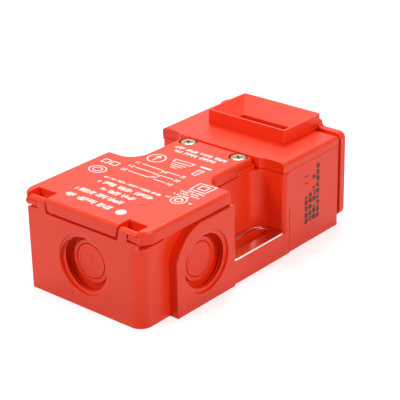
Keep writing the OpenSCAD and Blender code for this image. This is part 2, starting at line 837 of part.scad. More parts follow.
// An L of brass: its upright meets the bridge, and its top takes the wire.
module fixed_contact(i, side) {
    color(brass) place() scale([1, side, 1]) difference() {
        union() {
            block([contact_x(i), contact_y[0], channel_z],
                  [contact_x(i) + contact_t, contact_y[1], block_z]);
            block([pole_x(i), contact_y[0], block_z - deck_t],
                  [pole_x(i) + pocket_w, contact_y[1], block_z]);
        }
        rod_z([pole_x(i) + pocket_w / 2, terminal_y, channel_z], terminal_r, block_z);
    }
}

module terminal_clamp(i, side) {
    color(steel) place() scale([1, side, 1]) difference() {
        block([pole_x(i) + 0.4, terminal_y - 2.4, block_z],
              [pole_x(i) + pocket_w - 0.4, terminal_y + 2.2, block_z + clamp_t]);
        rod_z([pole_x(i) + pocket_w / 2, terminal_y, block_z - 1], terminal_r + gap, clamp_t + 2);
    }
}

module terminal_screw(i, side) {
    color(steel) place()
        pan_screw([pole_x(i) + pocket_w / 2, side * terminal_y, block_z + clamp_t], 2.2, 1.7, terminal_r, 4);
}

module contact_bridge(i) {
    color(brass) place()
        block([bridge_x(i), -bridge_hw, bridge_z[0]], [bridge_x(i) + bridge_t, bridge_hw, bridge_z[1]]);
}

module contact_carrier() {
    color("#d9d4c5") place() difference() {
        block([carrier_x0, -carrier_hw, carrier_z[0]], [carrier_x1, carrier_hw, carrier_z[1]]);
        for (i = [0:poles - 1])
            block([bridge_x(i), -carrier_hw - 1, bridge_z[0]],
                  [bridge_x(i) + bridge_t, carrier_hw + 1, bridge_z[1]]);
        rod_x([carrier_x0 - 1, 0, cam_z], spring_bore, spring_depth + 1);
    }
}

module return_spring() {
    color(steel) place() translate([channel_x0, 0, cam_z])
        coil(spring_r, spring_wire, carrier_x0 + spring_depth - channel_x0, spring_turns);
}

module head_screw(i) {
    x = post_x[floor((i - 1) / 2)];
    y = post_y * side_of(i);
    color(steel) place() translate([x, y, head_sink]) mirror([0, 0, 1])
        pan_screw([0, 0, 0], 2.8, 1.7, screw_r, top_z - blind - head_sink);
}

// The side of the centre line that terminal i is on: odd ones right, even ones left.
function side_of(i) = i % 2 == 0 ? 1 : -1;

housing();
conduit_end();
neck();
conduit_pad_left();
conduit_pad_right();
head_casing();
head_cover();
entry_guide();
lid();
lid_seal();
slot_plate_left();
slot_plate_right();
contact_block();
contact_carrier();
plunger();
return_spring();
cam();
cam_spindle();
thread_insert_left();
thread_insert_right();
lid_screw_left();
lid_screw_right();
block_screw_left();
block_screw_right();
for (i = [1:4])
    head_screw(i);
for (i = [1:poles])
    contact_bridge(i - 1);
for (i = [1:2 * poles]) {
    pole = floor((i - 1) / 2);
    fixed_contact(pole, side_of(i));
    terminal_clamp(pole, side_of(i));
    terminal_screw(pole, side_of(i));
}
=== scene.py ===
import json
import logging
import math
import random
from dataclasses import dataclass, field
from enum import Enum
from typing import Callable, Dict, List, Optional, Sequence, Tuple

import bmesh
import bpy
from mathutils import Matrix, Vector


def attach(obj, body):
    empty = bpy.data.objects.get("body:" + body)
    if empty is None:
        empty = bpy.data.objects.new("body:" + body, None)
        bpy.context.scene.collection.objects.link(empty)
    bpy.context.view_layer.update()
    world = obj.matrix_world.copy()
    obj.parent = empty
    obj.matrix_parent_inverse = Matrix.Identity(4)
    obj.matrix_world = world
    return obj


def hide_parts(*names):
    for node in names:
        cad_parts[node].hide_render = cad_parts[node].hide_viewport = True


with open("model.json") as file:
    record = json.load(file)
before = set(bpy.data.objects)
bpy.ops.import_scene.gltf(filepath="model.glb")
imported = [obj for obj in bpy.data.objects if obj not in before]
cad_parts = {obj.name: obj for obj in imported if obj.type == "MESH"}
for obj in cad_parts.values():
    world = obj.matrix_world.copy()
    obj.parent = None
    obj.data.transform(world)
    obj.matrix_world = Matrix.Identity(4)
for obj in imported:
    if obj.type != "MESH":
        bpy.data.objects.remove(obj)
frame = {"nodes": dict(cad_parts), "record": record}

LOG = logging.getLogger("safety_switch")

Point = Tuple[float, float, float]
Colour = Tuple[float, float, float]
Box = Tuple[Point, Point]

# The drawing's X starts at the conduit end; the frame's origin is this far along it.
FRAME_X = 49.05
MM = 0.001
# Corners nearer than this, in metres, are one point.
WELD = 2e-6
# Faces that turn by less than this are one flat face.
FLAT = math.radians(0.4)
# Edges between these two angles take a rounding.
SHARP = (math.radians(38), math.radians(142))
# Faces that turn by less than this are shaded as one curve.
CURVED = math.radians(36)


def at(x: float, y: float, z: float) -> Vector:
    """Turns a point of the drawing, in mm from the conduit end, into the frame's metres.

    Args:
        x: Distance from the conduit end.
        y: Distance from the centre line, left side positive.
        z: Height above the mounting face.

    Returns:
        The point in metres in the shared frame.
    """
    return Vector(((x - FRAME_X) * MM, y * MM, z * MM))


def linear(red: int, green: int, blue: int) -> Colour:
    """Turns a colour as it looks on screen, 0 to 255, into the shader's linear values.

    Args:
        red: Red as seen.
        green: Green as seen.
        blue: Blue as seen.

    Returns:
        The linear colour.
    """
    return tuple(
        v / 12.92 if v <= 0.04045 else ((v + 0.055) / 1.055) ** 2.4
        for v in (red / 255, green / 255, blue / 255)
    )


class Slot(Enum):
    """The record's material slots."""

    RED = "red_plastic"
    RUBBER = "seal_rubber"
    PLATE = "plate_steel"
    BLACK = "black_plastic"
    CAM = "cam_plastic"
    CARRIER = "carrier_plastic"
    TURNED = "turned_steel"
    SPRING = "spring_steel"
    BRASS = "contact_brass"
    SCREW = "screw_steel"
    ZINC = "zinc_screws"


class Body(Enum):
    """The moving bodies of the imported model."""

    BASE = "base"
    LID = "lid"
    CAM = "cam"
    PLUNGER = "plunger"


@dataclass(frozen=True)
class SwitchSizes:
    """Sizes of the CAD shapes, in the drawing's mm, that more than one class builds on."""

    seam: float = 28.3
    top: float = 32.4
    neck_side: float = 14.6
    head_side: float = 25.5
    pad_side: float = 26.5
    entry_radius: float = 10.0
    front_entry_z: float = 14.8
    side_entry_x: float = 25.9
    side_entry_z: float = 13.9


SIZES = SwitchSizes()

# Shared shader effects


class NodeTree:
    """A thin hand on a shader node tree, so that finishes read as short lists of links."""

    COLUMN, ROW, ROWS = 220, 160, 3

    def __init__(self, tree: bpy.types.NodeTree) -> None:
        """Keeps the tree and counts the nodes along a row."""
        self.tree = tree
        self.column = 0

    def add(self, kind: str, **values: object) -> bpy.types.Node:
        """Adds a node.

        Args:
            kind: The node's type name.
            **values: Attributes of the node, or inputs by name with _ for a blank.

        Returns:
            The new node.
        """
        node = self.tree.nodes.new(kind)
        node.location = (self.COLUMN * self.column, -self.ROW * (self.column % self.ROWS))
        self.column += 1
        for key, value in values.items():
            if hasattr(node, key):
                setattr(node, key, value)
            else:
                node.inputs[key.replace("_", " ")].default_value = value
        return node

    def link(self, source: bpy.types.NodeSocket, target: bpy.types.NodeSocket) -> None:
        """Joins an output to an input."""
        self.tree.links.new(source, target)

    def math(self, operation: str, a: object, b: object) -> bpy.types.NodeSocket:
        """Adds a Math node.

        Args:
            operation: The operation's name.
            a: A socket or a number.
            b: A socket or a number.

        Returns:
            The result's socket.
        """
        node = self.add("ShaderNodeMath", operation=operation)
        for socket, value in zip(node.inputs, (a, b)):
            if isinstance(value, (int, float)):
                socket.default_value = value
            else:
                self.link(value, socket)
        return node.outputs[0]

    def seen_directly(self) -> bpy.types.NodeSocket:
        """Adds a value that is 1 to the camera and to rays through or off a gloss, and 0 to others.

        Returns:
            The value's socket.
        """
        path = self.add("ShaderNodeLightPath")
        seen = self.math("MAXIMUM", path.outputs["Is Camera Ray"], path.outputs["Is Glossy Ray"])
        return self.math("MAXIMUM", seen, path.outputs["Is Transmission Ray"])


GroupParts = Tuple[bpy.types.NodeTree, NodeTree, bpy.types.Node, bpy.types.Node]


def new_group(name: str, inputs: Dict[str, float], outputs: Dict[str, str]) -> GroupParts:
    """Makes an empty shader node group with its sockets.

    Args:
        name: The group's name.
        inputs: Names and starting values of the number inputs.
        outputs: Names of the outputs and their socket types.

    Returns:
        The group, a hand on its tree, and its input and output nodes.
    """
    group = bpy.data.node_groups.new(name, "ShaderNodeTree")
    for key, value in inputs.items():
        socket = group.interface.new_socket(key, in_out="INPUT", socket_type="NodeSocketFloat")
        socket.default_value = value
    for key, kind in outputs.items():
        group.interface.new_socket(key, in_out="OUTPUT", socket_type=kind)
    tree = NodeTree(group)
    return group, tree, tree.add("NodeGroupInput"), tree.add("NodeGroupOutput")


class SharedEffects:
    """The node groups that several finishes use."""

    def __init__(self) -> None:
        """Builds each group once."""
        self.skin = self._moulded_skin()
        self.mottle = self._mottle()
        self.lay = self._lay()

    @staticmethod
    def _moulded_skin() -> bpy.types.NodeTree:
        """Builds the fine spark-eroded grain of a moulded face, over slow sink waves.

        Returns:
            The group, with a Height output.
        """
        group, tree, start, end = new_group(
            "MouldedSkin",
            {"Grain Size": 2600.0, "Grain": 0.5, "Wave Size": 60.0, "Wave": 0.5},
            {"Height": "NodeSocketFloat"},
        )
        place = tree.add("ShaderNodeTexCoord")
        fine = tree.add("ShaderNodeTexNoise", Detail=3.0, Roughness=0.6)
        broad = tree.add("ShaderNodeTexNoise", Detail=1.0, Roughness=0.4)
        for noise, size in ((fine, "Grain Size"), (broad, "Wave Size")):
            tree.link(place.outputs["Object"], noise.inputs["Vector"])
            tree.link(start.outputs[size], noise.inputs["Scale"])
        grain = tree.math("MULTIPLY", fine.outputs[0], start.outputs["Grain"])
        wave = tree.math("MULTIPLY", broad.outputs[0], start.outputs["Wave"])
        tree.link(tree.math("ADD", grain, wave), end.inputs["Height"])
        return group

    @staticmethod
    def _mottle() -> bpy.types.NodeTree:
        """Builds a soft, cloudy mask of how a colour and a gloss change over a face.

        Returns:
            The group, with Mask and Roughness outputs.
        """
        group, tree, start, end = new_group(
            "Mottle",
            {"Size": 90.0, "Spread": 0.35, "Roughness": 0.45, "Change": 0.08},
            {"Mask": "NodeSocketFloat", "Roughness": "NodeSocketFloat"},
        )
        place = tree.add("ShaderNodeTexCoord")
        cloud = tree.add("ShaderNodeTexNoise", Detail=4.0, Roughness=0.62)
        speck = tree.add("ShaderNodeTexNoise", Scale=1400.0, Detail=2.0)
        tree.link(place.outputs["Object"], cloud.inputs["Vector"])
        tree.link(place.outputs["Object"], speck.inputs["Vector"])
        tree.link(start.outputs["Size"], cloud.inputs["Scale"])
        clouds = tree.math("MULTIPLY", cloud.outputs[0], 0.75)
        specks = tree.math("MULTIPLY", speck.outputs[0], 0.25)
        mixed = tree.math("ADD", clouds, specks)
        centred = tree.math("SUBTRACT", mixed, 0.5)
        spread = tree.math("MULTIPLY", centred, tree.math("MULTIPLY", start.outputs["Spread"], 6.0))
        mask = tree.add("ShaderNodeClamp")
        tree.link(tree.math("ADD", spread, 0.5), mask.inputs[0])
        tree.link(mask.outputs[0], end.inputs["Mask"])
        change = tree.math("MULTIPLY", tree.math("SUBTRACT", mask.outputs[0], 0.5), start.outputs["Change"])
        tree.link(tree.math("ADD", start.outputs["Roughness"], change), end.inputs["Roughness"])
        return group

    @staticmethod
    def _lay() -> bpy.types.NodeTree:
        """Builds the fine drawn lines that rolling, turning or pressing leaves on metal.

        Returns:
            The group, with Mask and Height outputs.
        """
        group, tree, start, end = new_group(
            "MetalLay",
            {"Along": 60.0, "Across": 2400.0, "Depth": 0.4},
            {"Mask": "NodeSocketFloat", "Height": "NodeSocketFloat"},
        )
        place = tree.add("ShaderNodeTexCoord")
        stretch = tree.add("ShaderNodeCombineXYZ")
        tree.link(start.outputs["Along"], stretch.inputs[0])
        tree.link(start.outputs["Across"], stretch.inputs[1])
        tree.link(start.outputs["Across"], stretch.inputs[2])
        scaled = tree.add("ShaderNodeVectorMath", operation="MULTIPLY")
        tree.link(place.outputs["Object"], scaled.inputs[0])
        tree.link(stretch.outputs[0], scaled.inputs[1])
        lines = tree.add("ShaderNodeTexNoise", Scale=1.0, Detail=2.0, Roughness=0.7)
        tree.link(scaled.outputs[0], lines.inputs["Vector"])
        tree.link(lines.outputs[0], end.inputs["Mask"])
        tree.link(tree.math("MULTIPLY", lines.outputs[0], start.outputs["Depth"]), end.inputs["Height"])
        return group


@dataclass(frozen=True)
class Finish:
    """A finish: two near colours that drift into each other, a gloss and a surface texture."""

    name: str
    colour: Colour
    second: Colour
    roughness: float
    metallic: float = 0.0
    specular: float = 0.5
    change: float = 0.10
    spread: float = 0.35
    size: float = 90.0
    grain: float = 0.5
    grain_size: float = 2600.0
    wave: float = 0.35
    bump: float = 0.00002
    lay: bool = False

    def build(self, effects: SharedEffects) -> bpy.types.Material:
        """Builds the material.

        Args:
            effects: The shared node groups.

        Returns:
            The finished material.
        """
        material = bpy.data.materials.new(self.name)
        material.use_nodes = True
        material.diffuse_color = (*self.colour, 1.0)
        tree = NodeTree(material.node_tree)
        shader = material.node_tree.nodes["Principled BSDF"]
        shader.inputs["Metallic"].default_value = self.metallic
        shader.inputs["Specular IOR Level"].default_value = self.specular
        mottle = tree.add(
            "ShaderNodeGroup", node_tree=effects.mottle,
            Size=self.size, Spread=self.spread, Roughness=self.roughness, Change=self.change,
        )
        blend = tree.add("ShaderNodeMix", data_type="RGBA")
        blend.inputs["A"].default_value = (*self.colour, 1.0)
        blend.inputs["B"].default_value = (*self.second, 1.0)
        tree.link(mottle.outputs["Mask"], blend.inputs["Factor"])
        tree.link(blend.outputs["Result"], shader.inputs["Base Color"])
        tree.link(mottle.outputs["Roughness"], shader.inputs["Roughness"])
        if self.lay:
            texture = tree.add("ShaderNodeGroup", node_tree=effects.lay)
        else:
            texture = tree.add(
                "ShaderNodeGroup", node_tree=effects.skin,
                Grain_Size=self.grain_size, Grain=self.grain, Wave=self.wave,
            )
        bump = tree.add("ShaderNodeBump", Strength=1.0, Distance=self.bump)
        tree.link(texture.outputs["Height"], bump.inputs["Height"])
        tree.link(bump.outputs["Normal"], shader.inputs["Normal"])
        return material


FINISHES: Dict[Slot, Finish] = {
    Slot.RED: Finish(
        "red_moulding", (0.90, 0.038, 0.0026), (0.86, 0.031, 0.0022), 0.38,
        specular=0.42, spread=0.25, bump=0.00003,
    ),
    Slot.RUBBER: Finish("black_rubber", linear(26, 26, 27), linear(38, 37, 36), 0.75, spread=0.4),
    Slot.PLATE: Finish(
        "rolled_steel", linear(238, 234, 228), linear(214, 210, 204), 0.16,
        metallic=1.0, lay=True, bump=0.0000015,
    ),
    Slot.BLACK: Finish("black_moulding", linear(30, 31, 33), linear(42, 42, 44), 0.5),
    Slot.CAM: Finish("natural_acetal", linear(226, 222, 208), linear(214, 209, 193), 0.35),
    Slot.CARRIER: Finish("green_moulding", linear(58, 96, 74), linear(50, 84, 66), 0.45),
    Slot.TURNED: Finish(
        "turned_steel", linear(190, 188, 184), linear(160, 158, 154), 0.25,
        metallic=1.0, lay=True, bump=0.000005,
    ),
    Slot.SPRING: Finish(
        "drawn_wire", linear(150, 148, 146), linear(112, 110, 108), 0.3,
        metallic=1.0, lay=True, bump=0.000004,
    ),
    Slot.BRASS: Finish(
        "stamped_brass", linear(205, 168, 98), linear(178, 138, 74), 0.27,
        metallic=1.0, lay=True, bump=0.000005,
    ),
    Slot.SCREW: Finish(
        "plated_steel", linear(205, 202, 192), linear(168, 164, 152), 0.3,
        metallic=1.0, spread=0.6, size=700.0, bump=0.00001,
    ),
    Slot.ZINC: Finish(
        "zinc_plate", linear(196, 190, 168), linear(140, 132, 106), 0.3,
        metallic=1.0, spread=0.7, size=900.0, bump=0.00001,
    ),
}
INK_WHITE = Finish(
    "white_ink", linear(252, 243, 238), linear(246, 226, 218), 0.5, spread=0.6, size=900.0, grain=0.8
)
INK_BLACK = Finish("black_ink", linear(40, 16, 14), linear(66, 24, 20), 0.6, spread=0.6, size=1200.0)


class Palette:
    """All built materials, by slot."""

    def __init__(self) -> None:
        """Builds every finish once."""
        effects = SharedEffects()
        self.by_slot = {slot: finish.build(effects) for slot, finish in FINISHES.items()}
        self.white_ink = INK_WHITE.build(effects)
        self.black_ink = INK_BLACK.build(effects)

    def dress(self, thing: bpy.types.Object, slot: Slot) -> None:
        """Gives an object its slot's material."""
        wear(thing, self.by_slot[slot])

    def fit(self, piece: bpy.types.Object, slot: Slot, body: Body, *nodes: str) -> None:
        """Dresses a new piece and puts it on its body.

        Args:
            piece: The finished mesh.
            slot: Its material slot.
            body: The body it rides on.
            *nodes: The CAD nodes that it stands for, if any.
        """
        self.dress(piece, slot)
        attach(piece, body.value)
        if nodes:
            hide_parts(*nodes)


def wear(thing: bpy.types.Object, material: bpy.types.Material) -> None:
    """Puts one material on all of an object.

    Args:
        thing: The mesh object.
        material: The material.
    """
    if not thing.data.materials:
        thing.data.materials.append(material)
    for index in range(len(thing.data.materials)):
        thing.data.materials[index] = material


# Mesh making


def new_object(name: str, bm: bmesh.types.BMesh) -> bpy.types.Object:
    """Turns a bmesh into a shown object and frees it.

    Args:
        name: The piece's name.
        bm: The mesh, in the frame's metres.

    Returns:
        The object.
    """
    mesh = bpy.data.meshes.new(name)
    bm.to_mesh(mesh)
    bm.free()
    thing = bpy.data.objects.new(name, mesh)
    bpy.context.scene.collection.objects.link(thing)
    return thing


def evaluated_mesh(thing: bpy.types.Object) -> bpy.types.Mesh:
    """Gives a copy of an object's mesh with its modifiers applied.

    Args:
        thing: The mesh object.

    Returns:
        The new mesh.
    """
    bpy.context.view_layer.update()
    graph = bpy.context.evaluated_depsgraph_get()
    return bpy.data.meshes.new_from_object(thing.evaluated_get(graph))


def settle(thing: bpy.types.Object) -> None:
    """Applies an object's modifiers to its own mesh.

    Args:
        thing: The mesh object.
    """
    mesh = evaluated_mesh(thing)
    thing.modifiers.clear()
    thing.data = mesh


def clean_copy(node: str, name: str) -> bpy.types.Object:
    """Copies a CAD node with its flat faces whole instead of cut into triangles.

    Args:
        node: The CAD node.
        name: The copy's name.

    Returns:
        The copy, in the same place.
    """
    bm = bmesh.new()
    bm.from_mesh(frame["nodes"][node].data)
    bmesh.ops.remove_doubles(bm, verts=bm.verts, dist=WELD)
    bmesh.ops.dissolve_limit(bm, angle_limit=FLAT, verts=bm.verts, edges=bm.edges)
    return new_object(name, bm)


EdgeTest = Callable[[bmesh.types.BMEdge], bool]


def round_edges(thing: bpy.types.Object, width: float, wanted: EdgeTest, segments: int = 3) -> None:
    """Rounds an object's outer edges as a mould or a press does.

    Args:
        thing: The object; its mesh is its own.
        width: Width of the rounding in mm.
        wanted: Says which sharp outer edges take it.
        segments: Steps across the rounding.
    """
    bm = bmesh.new()
    bm.from_mesh(thing.data)
    bmesh.ops.dissolve_limit(bm, angle_limit=FLAT, verts=bm.verts, edges=bm.edges)
    sharp = [
        e
        for e in bm.edges
        if len(e.link_faces) == 2
        and e.is_convex
        and SHARP[0] < e.calc_face_angle(0.0) < SHARP[1]
        and wanted(e)
    ]
    if sharp:
        bmesh.ops.bevel(
            bm, geom=sharp, offset=width * MM, offset_type="OFFSET", segments=segments,
            profile=0.5, affect="EDGES", clamp_overlap=False, miter_outer="ARC",
        )
    bm.to_mesh(thing.data)
    bm.free()


def both_sides(*boxes: Box) -> List[Box]:
    """Repeats boxes on the right side of the switch.

    Args:
        *boxes: Boxes on the left side, each as two corners in the drawing's mm.

    Returns:
        The boxes and their mirror images.
    """
    mirrored = [((a[0], -b[1], a[2]), (b[0], -a[1], b[2])) for a, b in boxes]
    return list(boxes) + mirrored


def solid_box(name: str, low: Point, high: Point) -> bpy.types.Object:
    """Builds a box between two corners in the drawing's mm.

    Args:
        name: The box's name.
        low: The corner nearest the conduit end, the right side and the mounting face.
        high: The opposite corner.

    Returns:
        The box.
    """
    bm = bmesh.new()
    a, b = at(*low), at(*high)
    for vert in bmesh.ops.create_cube(bm, size=1.0)["verts"]:
        vert.co = Vector([(a[i] + b[i]) / 2 + vert.co[i] * (b[i] - a[i]) for i in range(3)])
    return new_object(name, bm)


def combine(thing: bpy.types.Object, others: Sequence[bpy.types.Object], operation: str) -> None:
    """Joins solids to an object or cuts them from it, and clears them away.

    Args:
        thing: The object that changes.
        others: The solids, taken one after another.
        operation: UNION or DIFFERENCE.
    """
    for other in others:
        step = thing.modifiers.new(operation.lower(), "BOOLEAN")
        step.operation = operation
        step.solver = "EXACT"
        step.object = other
    settle(thing)
    for other in others:
        bpy.data.objects.remove(other)


def merge(thing: bpy.types.Object, others: Sequence[bpy.types.Object]) -> None:
    """Joins solids to an object and clears them away."""
    combine(thing, others, "UNION")


def carve(thing: bpy.types.Object, boxes: Sequence[Box]) -> None:
    """Cuts parting lines and gaps into an object, each box as two corners in the drawing's mm."""
    combine(thing, [solid_box("cutter", low, high) for low, high in boxes], "DIFFERENCE")


def shade(thing: bpy.types.Object) -> None:
    """Shades curved faces smooth and keeps flat faces flat.

    Args:
        thing: The mesh object.
    """
    bm = bmesh.new()
    bm.from_mesh(thing.data)
    for face in bm.faces:
        face.smooth = True
    for edge in bm.edges:
        edge.smooth = len(edge.link_faces) == 2 and edge.calc_face_angle(0.0) < CURVED
    bm.to_mesh(thing.data)
    bm.free()
    weighted = thing.modifiers.new("weighted", "WEIGHTED_NORMAL")
    weighted.keep_sharp = True
    weighted.weight = 60
    weighted.mode = "FACE_AREA"
    settle(thing)


def middle(edge: bmesh.types.BMEdge) -> Point:
    """Gives an edge's middle in the drawing's mm."""
    p = (edge.verts[0].co + edge.verts[1].co) / 2
    return p.x / MM + FRAME_X, p.y / MM, p.z / MM


# Open joints on the left side, each box as two corners in the drawing's mm.
HOUSING_GAPS: Dict[str, Box] = {
    "under_lid_cut_corner": ((0.9, 21.7, 26.0), (10.5, 27.5, 29.0)),
    "under_lid_box_side": ((10.4, 22.3, 27.85), (39.9, 27.5, 29.0)),
    "under_lid_box_end": ((38.2, 14.9, 27.85), (39.9, 22.3, 29.0)),
    "under_lid_neck": ((39.9, 13.6, 27.85), (55.6, 17.0, 29.0)),
    "beside_head": ((67.7, 24.9, 1.2), (68.5, 27.0, 16.0)),
    "outside_hinge_pin": ((-1.0, 18.5, 28.1), (0.9, 22.2, 30.6)),
}
CASING_GAPS: Dict[str, Box] = {"beside_flange": ((67.8, 24.9, 1.2), (68.3, 27.0, 16.0))}
LID_GAPS: Dict[str, Box] = {
    "step_up": ((55.05, 14.0, 27.0), (55.6, 16.5, 30.20)),
    "over_tongue": ((55.05, 14.0, 29.90), (64.0, 16.5, 30.30)),
}


@dataclass
class Mouldings:
    """The red mouldings: CAD shapes with their rounded edges, each in one piece.

    Sizes are in the drawing's mm. A name in _round is the width of a rounded edge. The strip is
    the head's front face beside the recesses, the joint is the cover's visible parting line, the
    core fills the cover behind that line, and near is the slack of the tests on places.
    """

    palette: Palette
    housing_round: float = 0.28
    casing_round: float = 0.22
    plate_round: float = 0.3
    cover_round: float = 1.5
    cover_steps: int = 7
    joint: float = 28.75
    joint_gap: float = 0.25
    strip_x: float = 65.0
    cover_start: float = 63.9
    sweep_radius: float = 5.0
    sweep_steps: int = 12
    head_end: float = 94.8
    corner_length: float = 2.2
    corner_width: float = 2.0
    core_rise: float = 0.6
    core_inset: float = 0.15
    core_setback: float = 1.0
    core_end_inset: float = 0.2
    stub_lap: float = 1.2
    near: float = 0.1
    mouth_margin: float = 0.3
    key_slot: Box = ((83.9, -10.3, 25.0), (89.3, 10.3, 35.0))

    def build(self) -> List[bpy.types.Object]:
        """Builds and dresses every red moulding.

        Returns:
            The pieces.
        """
        return [
            self._housing(),
            self._casing(),
            self._cover(),
            self._single("entry_guide", "guide_moulding", self._guide_edge),
            self._single("lid", "lid_moulding", self._lid_edge, Body.LID, LID_GAPS),
        ]

    def _finish(self, piece: bpy.types.Object, body: Body, *nodes: str) -> bpy.types.Object:
        """Puts a piece on its body in place of its CAD nodes.

        Args:
            piece: The finished mesh.
            body: The body it rides on.
            *nodes: The CAD nodes that it stands for.

        Returns:
            The piece.
        """
        self.palette.fit(piece, Slot.RED, body, *nodes)
        LOG.info("%s: %d faces", piece.name, len(piece.data.polygons))
        return piece

    def _single(
        self,
        node: str,
        name: str,
        wanted: EdgeTest,
        body: Body = Body.BASE,
        gaps: Optional[Dict[str, Box]] = None,
    ) -> bpy.types.Object:
        """Builds a moulding from one CAD node.

        Args:
            node: The CAD node.
            name: The piece's name.
            wanted: Which edges are rounded.
            body: The body it rides on.
            gaps: Parting lines cut into both of its sides.

        Returns:
            The piece.
        """
        piece = clean_copy(node, name)
        if gaps:
            carve(piece, both_sides(*gaps.values()))
        round_edges(piece, self.plate_round, wanted)
        shade(piece)
        return self._finish(piece, body, node)

    def _casing(self) -> bpy.types.Object:
        """Builds the head casing, with its crisp upright corners at the key's end.

        Returns:
            The piece.
        """
        piece = clean_copy("head_casing", "casing_moulding")
        corner = (
            (self.head_end - self.corner_length, SIZES.head_side - self.corner_width, 0.0),
            (self.head_end, SIZES.head_side, SIZES.seam),
        )
        merge(piece, [solid_box("corner", *box) for box in both_sides(corner)])
        carve(piece, both_sides(*CASING_GAPS.values()))
        round_edges(piece, self.casing_round, self._casing_edge)
        shade(piece)
        return self._finish(piece, Body.BASE, "head_casing")

    def _cover(self) -> bpy.types.Object:
        """Builds the head cover: its tongue from the CAD, under a top that sweeps round the recesses.

        Returns:
            The piece.
        """
        piece = clean_copy("head_cover", "cover_moulding")
        all_but_tongue = ((self.cover_start - self.near, -30.0, 20.0), (100.0, 30.0, 40.0))
        carve(piece, [all_but_tongue])
        merge(piece, [self._cover_top(), *self._cover_foot()])
        carve(piece, [self.key_slot])
        shade(piece)
        return self._finish(piece, Body.BASE, "head_cover")

    def _cover_prism(self, low: float, high: float) -> bmesh.types.BMesh:
        """Builds the cover's outline, which sweeps round the recesses, between two heights.

        Args:
            low: Height of the underside in mm.
            high: Height of the top in mm.

        Returns:
            The closed prism.
        """
        sweep = self.sweep_radius
        widest = math.acos((self.cover_start - self.strip_x + sweep) / sweep)
        turns = [widest * k / self.sweep_steps for k in range(self.sweep_steps, -1, -1)]
        centre_x, centre_y = self.strip_x - sweep, -SIZES.neck_side - sweep
        right = [(centre_x + sweep * math.cos(t), centre_y + sweep * math.sin(t)) for t in turns]
        right += [(self.strip_x, -SIZES.head_side), (self.head_end, -SIZES.head_side)]
        outline = right + [(x, -y) for x, y in reversed(right)]
        bm = bmesh.new()
        base = bm.faces.new([bm.verts.new(at(x, y, low)) for x, y in outline])
        raised = bmesh.ops.extrude_face_region(bm, geom=[base])["geom"]
        for vert in (v for v in raised if isinstance(v, bmesh.types.BMVert)):
            vert.co.z = high * MM
        bmesh.ops.recalc_face_normals(bm, faces=bm.faces)
        return bm

    def _cover_top(self) -> bpy.types.Object:
        """Builds the cover's top: sharp over the recesses and softly rounded along the sides and the end.

        Returns:
            A loose solid.
        """
        bm = self._cover_prism(self.joint + self.joint_gap, SIZES.top)
        soft = []
        for edge in bm.edges:
            x, y, z = middle(edge)
            side = abs(y) > SIZES.head_side - self.near
            if z > SIZES.top - self.near and (side or x > self.head_end - self.near):
                soft.append(edge)
        bmesh.ops.bevel(
            bm, geom=soft, offset=self.cover_round * MM, offset_type="OFFSET",
            segments=self.cover_steps, profile=0.5, affect="EDGES", clamp_overlap=False,
        )
        return new_object("cover_top", bm)

    def _cover_foot(self) -> List[bpy.types.Object]:
        """Builds what stands under the visible joint line, and the core that bridges the line.

        Returns:
            Loose solids.
        """
        foot = new_object("cover_foot", self._cover_prism(SIZES.seam, self.joint))
        side, core_top = SIZES.head_side - self.core_inset, self.joint + self.core_rise
        head = solid_box(
            "head_core",
            (self.strip_x + self.core_setback, -side, SIZES.seam),
            (self.head_end - self.core_end_inset, side, core_top),
        )
        stub = solid_box(
            "stub_core",
            (self.cover_start, -SIZES.neck_side, SIZES.seam),
            (self.strip_x + self.stub_lap, SIZES.neck_side, core_top),
        )
        return [foot, head, stub]

    def _housing(self) -> bpy.types.Object:
        """Joins the box, its pads and the neck into the one moulding they are.

        Returns:
            The piece.
        """
        nodes = ("housing", "conduit_end", "neck", "conduit_pad_left", "conduit_pad_right")
        piece = clean_copy(nodes[0], "housing_moulding")
        merge(piece, [clean_copy(node, f"join_{node}") for node in nodes[1:]])
        carve(piece, both_sides(*HOUSING_GAPS.values()))
        round_edges(piece, self.housing_round, self._housing_edge)
        shade(piece)
        return self._finish(piece, Body.BASE, *nodes)

    def _housing_edge(self, edge: bmesh.types.BMEdge) -> bool:
        """Says whether an edge of the housing is an outer one with room for its rounding.

        Args:
            edge: The edge.

        Returns:
            True where it is rounded: not at the hinge, in the joints, in an entry or indoors.
        """
        x, y, z = middle(edge)
        # Each of these names a region of the drawing, in mm.
        hinge = x < 3.2 and z > 26.8
        cut_corner = x < 11.0 and abs(y) > 15.0 and z > 25.5
        under_cover = x > 60.0 and z > 27.5
        if hinge or cut_corner or under_cover:
            return False
        reach = SIZES.entry_radius + self.mouth_margin
        from_side = math.hypot(x - SIZES.side_entry_x, z - SIZES.side_entry_z)
        near_front = x < 5.5 and math.hypot(y, z - SIZES.front_entry_z) < reach
        near_side = abs(y) > 20.9 and from_side < reach
        if (near_front and x > self.near) or (near_side and abs(y) < SIZES.pad_side - self.near):
            return False
        inside_box = 2.0 < x < 37.5 and abs(y) < 21.2 and z > 1.0
        inside_neck = 36.0 < x < 63.5 and abs(y) < 12.4 and z > 1.0
        return not (inside_box or inside_neck)

    @staticmethod
    def _casing_edge(edge: bmesh.types.BMEdge) -> bool:
        """Says whether an edge of the head casing is an outer one."""
        x, y, z = middle(edge)
        return z < 28.0 and (x > 93.5 or abs(y) > 25.0 or z < 0.1)

    @staticmethod
    def _guide_edge(edge: bmesh.types.BMEdge) -> bool:
        """Says whether an edge of the key guide is an outer one."""
        x, y, z = middle(edge)
        return x > 95.3 and (z < 33.5 or abs(y) > 15.8)

